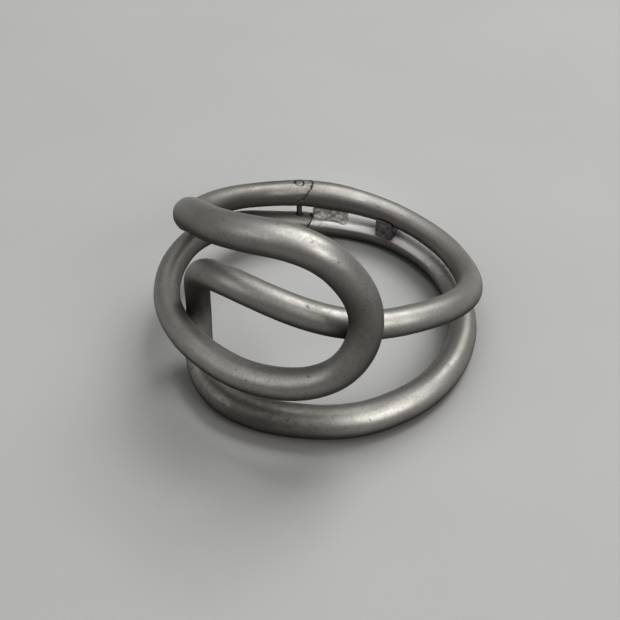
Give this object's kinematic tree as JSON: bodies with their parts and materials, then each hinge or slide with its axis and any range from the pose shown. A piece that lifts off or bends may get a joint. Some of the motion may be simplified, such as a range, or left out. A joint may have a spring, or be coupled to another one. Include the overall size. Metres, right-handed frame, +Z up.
{
  "type": "wire ring disentanglement puzzle",
  "caption": "Finger-ring-sized wire puzzle: two bent wire hairpins overlap at the front and hinge on an upright rivet pin at the back, with a short solder bridge and a solder seam between its rails.",
  "frame": {"origin": "on the plane the ring stands on, below the middle of its bounding box", "axes": "+Z up along the finger hole's axis, front with the overlapping loops towards -Y, +X to the right"},
  "size_m": [0.0226, 0.0231, 0.0179],
  "materials": {
    "outer_wire_steel": "satin, tumbled",
    "inner_wire_steel": "satin, tumbled",
    "pin_steel": "darkened",
    "bar_solder": "matt, heat tinted",
    "seam_solder": "matt, uneven"
  },
  "bodies": {
    "inner_loop": {"inner_loop_wire": "inner_wire_steel", "hinge_pin": "pin_steel", "back_cross_bar": "bar_solder", "rail_seam_solder": "seam_solder"},
    "outer_loop": {"outer_loop_wire": "outer_wire_steel"}
  },
  "joints": [
    {"name": "outer_loop_swing", "type": "hinge", "parent": "inner_loop", "child": "outer_loop", "pos_m": [-0.00144, 0.01045, 0.003], "axis": [0, 0, -1], "range_deg": [0, 45]}
  ]
}
